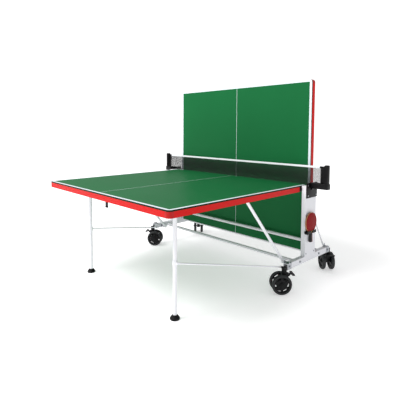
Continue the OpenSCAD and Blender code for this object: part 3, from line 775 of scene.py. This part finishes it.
class TABLE_OT_fasteners(bpy.types.Operator):
    """Screw heads on the columns, the covers and the end brackets"""
    bl_idname = "table.fasteners"
    bl_label = "Fasteners"

    def execute(self, context):
        screw = screw_pattern()
        column_low, column_high = (Vector(v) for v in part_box("column_near"))
        cover_low, cover_high = (Vector(v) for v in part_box("net_brackets"))
        bracket_low, bracket_high = (Vector(v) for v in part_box("end_brackets"))
        mid_y = (column_low.y + column_high.y) / 2
        half = (column_high.y - column_low.y) / 2
        heads = []

        def put_head(x, y, z, side):
            turn = Matrix.Identity(4) if side > 0 else Matrix.Rotation(math.pi, 4, "Z")
            heads.append(copy_to(screw, "head", Matrix.Translation((x, y, z)) @ turn))

        for side in (-1, 1):
            face = side * column_high.x
            for y in (mid_y - half + 0.018, mid_y + half - 0.018):
                put_head(face, y, column_low.z + 0.02, side)
                put_head(face + side * COVER_THICKNESS, y, cover_low.z + 0.018, side)
                put_head(face + side * COVER_THICKNESS, y, cover_high.z - 0.018, side)
            for y in (bracket_low.y + 0.023, bracket_high.y - 0.023):
                put_head(face, y, bracket_high.z - 0.016, side)
        on_frame = weld(heads, "frame_screws")
        dress(on_frame, FINISH["zinc"])
        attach(on_frame, "undercarriage")
        drop(screw)
        return {"FINISHED"}


class TABLE_OT_covers(bpy.types.Operator):
    """Black covers on the columns with the arms that carry the net posts"""
    bl_idname = "table.covers"
    bl_label = "Net bracket covers"

    def execute(self, context):
        low, high = (Vector(v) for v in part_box("net_brackets"))
        column = Vector(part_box("column_near")[1])
        post_low, post_high = (Vector(v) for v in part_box("net_post_near"))
        mid_y = (low.y + high.y) / 2
        parts = []
        for side in (-1, 1):
            def span(x0, x1):
                return (min(side * x0, side * x1), max(side * x0, side * x1))
            x = span(column.x, column.x + COVER_THICKNESS)
            parts.append(block((x[0], low.y, low.z), (x[1], high.y, high.z), 0.0025, 3))
            x = span(column.x + 0.006, high.x)
            arm = block((x[0], mid_y - ARM_HALF_WIDTH, high.z - ARM_HEIGHT),
                        (x[1], mid_y + ARM_HALF_WIDTH, high.z), 0)
            # The arm tapers from a deep root to the post
            pick_faces(arm, lambda c, n: n.x * side < -0.9)
            bpy.ops.transform.resize(value=(1, 1.25, 1.0))
            bpy.ops.mesh.select_all(action="SELECT")
            bpy.ops.mesh.bevel(offset=0.0025, segments=3, affect="EDGES")
            bpy.ops.object.mode_set(mode="OBJECT")
            parts.append(arm)
            x = span(column.x + 0.006, column.x + 0.022)
            gusset = block((x[0], mid_y - 0.018, high.z - 0.058), (x[1], mid_y + 0.018, high.z - 0.040), 0)
            pick_points(gusset, lambda p: p.z < high.z - 0.05 and abs(p.x) > column.x + 0.015)
            bpy.ops.transform.translate(value=(-side * 0.013, 0, 0))
            bpy.ops.object.mode_set(mode="OBJECT")
            parts.append(gusset)
        covers = weld(parts, "bracket_covers")
        dress(covers, FINISH["black_plastic"])
        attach(covers, "undercarriage")
        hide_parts("net_brackets")

        posts = []
        for side in (-1, 1):
            x0, x1 = sorted((side * post_low.x, side * post_high.x))
            post = block((x0, post_low.y, post_low.z), (x1, post_high.y, post_high.z - 0.002), 0)
            pick_faces(post, lambda c, n: n.z > 0.9)
            bpy.ops.mesh.inset(thickness=0.004, depth=0.002)
            bpy.ops.mesh.select_all(action="SELECT")
            bpy.ops.object.mode_set(mode="OBJECT")
            rounding = post.modifiers.new("Rounding", "BEVEL")
            rounding.width, rounding.segments, rounding.limit_method = 0.0025, 3, "ANGLE"
            posts.append(settle(post, "post"))
        posts = weld(posts, "net_post_tubes")
        dress(posts, FINISH["black_plastic"])
        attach(posts, "undercarriage")
        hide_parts("net_post_near", "net_post_far")
        return {"FINISHED"}


# ---------------------------------------------------------------- studio

class TABLE_OT_studio(bpy.types.Operator):
    """Pale floor, soft lights and the camera"""
    bl_idname = "table.studio"
    bl_label = "Studio"

    def execute(self, context):
        studio = context.scene.studio_looks
        clear_selection()
        bpy.ops.mesh.primitive_plane_add(size=60, location=(0, 0, 0))
        floor = bpy.context.object
        floor.name = "studio_floor"
        material, shader = start_material("matt white studio floor", Roughness=0.9)
        place = put(material, "ShaderNodeTexCoord").outputs["Object"]
        cloud = put(material, "ShaderNodeTexNoise", {"Vector": place, "Scale": 0.6})
        mixed = put(material, "ShaderNodeMix", {0: cloud.outputs["Fac"], 6: linear("#f6f6f7"), 7: linear("#fafafb")},
                    data_type="RGBA")
        join_up(material, mixed.outputs[2], shader.inputs["Base Color"])
        # A faint glow keeps the floor white where it is out of the shadows
        shader.inputs["Emission Color"].default_value = (1, 1, 1, 1)
        far = put(material, "ShaderNodeVectorMath", {0: place}, operation="LENGTH")
        glow = put(material, "ShaderNodeMapRange", {"Value": far.outputs["Value"], "From Min": 1.7, "From Max": 3.6,
                                                    "To Min": studio.floor_glow, "To Max": studio.floor_glow + 0.35})
        join_up(material, glow.outputs["Result"], shader.inputs["Emission Strength"])
        dress(floor, material)

        world = bpy.data.worlds.new("white surround")
        world.use_nodes = True
        # The surround lights the table at one strength and is seen as plain white
        tree = world.node_tree
        tree.nodes["Background"].inputs["Color"].default_value = (1, 1, 1, 1)
        seen = tree.nodes.new("ShaderNodeLightPath")
        level = tree.nodes.new("ShaderNodeMapRange")
        level.inputs["To Min"].default_value = studio.sky
        level.inputs["To Max"].default_value = 1.2
        tree.links.new(seen.outputs["Is Camera Ray"], level.inputs["Value"])
        tree.links.new(level.outputs["Result"], tree.nodes["Background"].inputs["Strength"])
        context.scene.world = world
        context.scene.view_settings.view_transform = "Standard"

        def lamp(name, place, target, size, power):
            bpy.ops.object.light_add(type="AREA", location=place)
            made = bpy.context.object
            made.name = name
            made.data.shape, made.data.size, made.data.energy = "DISK", size, power
            made.rotation_euler = (Vector(target) - Vector(place)).to_track_quat("-Z", "Y").to_euler()

        lamp("key_light", (-1.3, -3.4, 5.2), (0, 0, 0.6), 3.4, studio.key_power)
        lamp("fill_light", (4.5, -4.0, 3.0), (0, 0, 0.7), 4.0, studio.fill_power)

        camera = bpy.data.objects.new("camera", bpy.data.cameras.new("camera"))
        context.scene.collection.objects.link(camera)
        camera.location = CAMERA_PLACE
        aim = Euler((math.pi / 2 + CAMERA_TILT, 0, CAMERA_HEADING)).to_quaternion()
        turn = aim @ Quaternion((0, 0, 1), CAMERA_ROLL)
        camera.rotation_euler = turn.to_euler()
        camera.data.lens = CAMERA_LENS
        camera.data.sensor_width = CAMERA_SENSOR
        camera.data.shift_x, camera.data.shift_y = CAMERA_SHIFT
        camera.data.clip_end = 200.0
        context.scene.camera = camera
        return {"FINISHED"}


class TABLE_PT_panel(bpy.types.Panel):
    """Lists the table's looks and the steps that make them"""
    bl_idname = "TABLE_PT_panel"
    bl_label = "Ping pong table"
    bl_space_type = "VIEW_3D"
    bl_region_type = "UI"
    bl_category = "Table"

    def draw(self, context):
        for group in (context.scene.table_looks, context.scene.net_looks, context.scene.studio_looks):
            for name in group.__annotations__:
                self.layout.prop(group, name)
        for step in STEPS:
            self.layout.operator(step.bl_idname)


STEPS = (TABLE_OT_finishes, TABLE_OT_court_lines, TABLE_OT_net, TABLE_OT_covers, TABLE_OT_wheels, TABLE_OT_bat,
         TABLE_OT_fasteners, TABLE_OT_studio)
CLASSES = (TableLooks, NetLooks, StudioLooks) + STEPS + (TABLE_PT_panel,)


def register():
    for item in CLASSES:
        bpy.utils.register_class(item)
    bpy.types.Scene.table_looks = bpy.props.PointerProperty(type=TableLooks)
    bpy.types.Scene.net_looks = bpy.props.PointerProperty(type=NetLooks)
    bpy.types.Scene.studio_looks = bpy.props.PointerProperty(type=StudioLooks)


def unregister():
    del bpy.types.Scene.table_looks, bpy.types.Scene.net_looks, bpy.types.Scene.studio_looks
    for item in reversed(CLASSES):
        bpy.utils.unregister_class(item)


def main():
    register()
    for step in STEPS:
        family, name = step.bl_idname.split(".")
        getattr(getattr(bpy.ops, family), name)()


if __name__ == "__main__":
    main()
